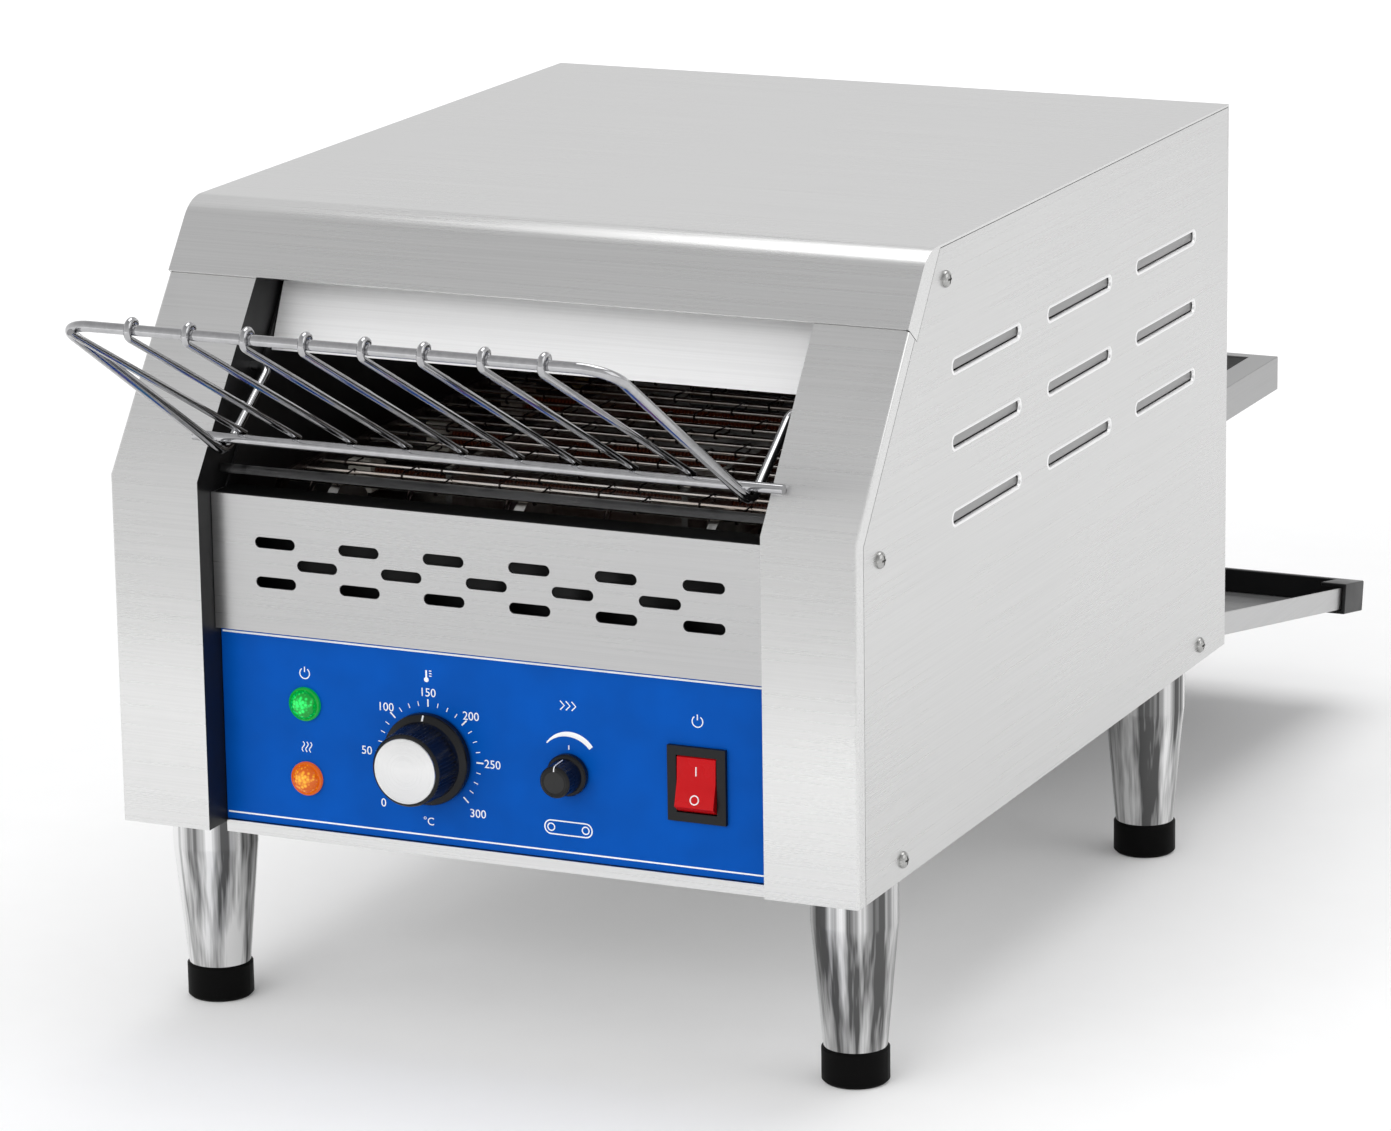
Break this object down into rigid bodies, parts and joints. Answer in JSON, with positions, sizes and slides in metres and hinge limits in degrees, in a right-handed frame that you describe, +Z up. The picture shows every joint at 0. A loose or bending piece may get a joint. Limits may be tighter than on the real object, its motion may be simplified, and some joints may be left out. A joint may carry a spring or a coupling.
{
  "type": "conveyor toaster",
  "caption": "Counter-top conveyor toaster with a wire feed rack, wire belt, blue control panel, rear shelf and sloping exit tray on tapered legs.",
  "frame": {"origin": "on the floor under the middle of the whole machine, rack and tray included", "axes": "+X to the right seen from the front, +Y from the front to the back, +Z up"},
  "size_m": [0.3748, 0.8776, 0.375],
  "materials": {
    "brushed_stainless": "brushed, fine grain",
    "polished_stainless": "satin polished",
    "chrome_wire": "bright chrome",
    "black_enamel": "satin black, heat resistant",
    "blue_enamel": "smooth satin",
    "zinc_steel": "zinc plated",
    "black_rubber": "matte",
    "black_plastic": "satin",
    "red_plastic": "gloss",
    "green_lens": "clear gloss",
    "amber_lens": "clear gloss",
    "spun_aluminium": "spun",
    "quartz": "clear tube",
    "ceramic": "unglazed",
    "grey_plastic": "matte",
    "brass_bush": "plain"
  },
  "bodies": {
    "housing": {"back_panel": "brushed_stainless", "base_plate": "brushed_stainless", "base_screws": "polished_stainless", "belt_edge_links": "polished_stainless", "belt_rails": "zinc_steel", "belt_rods": "polished_stainless", "cable_gland": "black_plastic", "chamber_liner_left": "black_enamel", "chamber_liner_right": "black_enamel", "chamber_roof": "black_enamel", "control_panel": "blue_enamel", "drive_chain": "zinc_steel", "exit_chute": "zinc_steel", "fan_frame": "black_plastic", "feed_lip": "polished_stainless", "front_post_left": "brushed_stainless", "front_post_right": "brushed_stainless", "front_sill": "black_enamel", "gearbox": "zinc_steel", "heater_holders": "ceramic", "heaters_lower": "quartz", "heaters_upper": "quartz", "lamp_amber": "amber_lens", "lamp_green": "green_lens", "lamp_sockets": "grey_plastic", "legs": "polished_stainless", "lower_reflector": "zinc_steel", "motor": "zinc_steel", "motor_bracket": "zinc_steel", "perforated_front_plate": "brushed_stainless", "rear_shelf_floor": "black_enamel", "rear_shelf_rim": "brushed_stainless", "rubber_feet": "black_rubber", "shaft_bushes": "brass_bush", "side_panel_left": "brushed_stainless", "side_panel_right": "brushed_stainless", "side_screws": "polished_stainless", "speed_control": "grey_plastic", "switch_frame": "black_plastic", "terminal_block": "ceramic", "thermostat": "zinc_steel", "top_cover": "brushed_stainless", "tray_runners": "zinc_steel", "upper_baffle": "brushed_stainless"},
    "rack": {"rack_frame_rod": "chrome_wire", "rack_cross_rod": "chrome_wire", "rack_wires": "chrome_wire"},
    "temperature_dial": {"temperature_knob": "black_plastic", "temperature_knob_face": "spun_aluminium"},
    "speed_dial": {"speed_knob": "black_plastic"},
    "power_rocker": {"switch_rocker": "red_plastic"},
    "rear_tray": {"rear_tray_rim": "brushed_stainless", "rear_tray_floor": "black_enamel", "tray_end_trim": "black_plastic"},
    "drive_roller": {"drive_shaft": "zinc_steel", "drive_sprocket": "zinc_steel"},
    "idler_roller": {"idler_shaft": "zinc_steel"},
    "motor_output": {"motor_sprocket": "zinc_steel"},
    "fan": {"fan_rotor": "black_plastic"}
  },
  "joints": [
    {"name": "rack_tilt", "type": "hinge", "parent": "housing", "child": "rack", "pos_m": [0, -0.23838, 0.30422], "axis": [-1, 0, 0], "range_deg": [0, 70]},
    {"name": "temperature_turn", "type": "hinge", "parent": "housing", "child": "temperature_dial", "pos_m": [-0.0335, -0.27677, 0.138], "axis": [0, 1, 0], "range_deg": [-135, 135]},
    {"name": "speed_turn", "type": "hinge", "parent": "housing", "child": "speed_dial", "pos_m": [0.037, -0.27677, 0.138], "axis": [0, 1, 0], "range_deg": [-135, 135]},
    {"name": "power_rock", "type": "hinge", "parent": "housing", "child": "power_rocker", "pos_m": [0.1007, -0.27197, 0.14], "axis": [1, 0, 0], "range_deg": [0, 18]},
    {"name": "tray_slide", "type": "slide", "parent": "housing", "child": "rear_tray", "axis": [0, 0.9848, -0.1736], "range_m": [0, 0.045]},
    {"name": "belt_drive_spin", "type": "hinge", "parent": "housing", "child": "drive_roller", "pos_m": [0, -0.23577, 0.233], "axis": [1, 0, 0], "continuous": true},
    {"name": "belt_idler_spin", "type": "hinge", "parent": "housing", "child": "idler_roller", "pos_m": [0, 0.10123, 0.233], "axis": [1, 0, 0], "continuous": true},
    {"name": "motor_spin", "type": "hinge", "parent": "housing", "child": "motor_output", "pos_m": [0, -0.16877, 0.142], "axis": [1, 0, 0], "continuous": true},
    {"name": "fan_spin", "type": "hinge", "parent": "housing", "child": "fan", "pos_m": [-0.075, -0.10377, 0.0972], "axis": [0, 0, 1], "continuous": true}
  ],
  "couplings": [
    {"joint": "belt_idler_spin", "follows": "belt_drive_spin", "ratio": 1},
    {"joint": "motor_spin", "follows": "belt_drive_spin", "ratio": 1.4961}
  ]
}
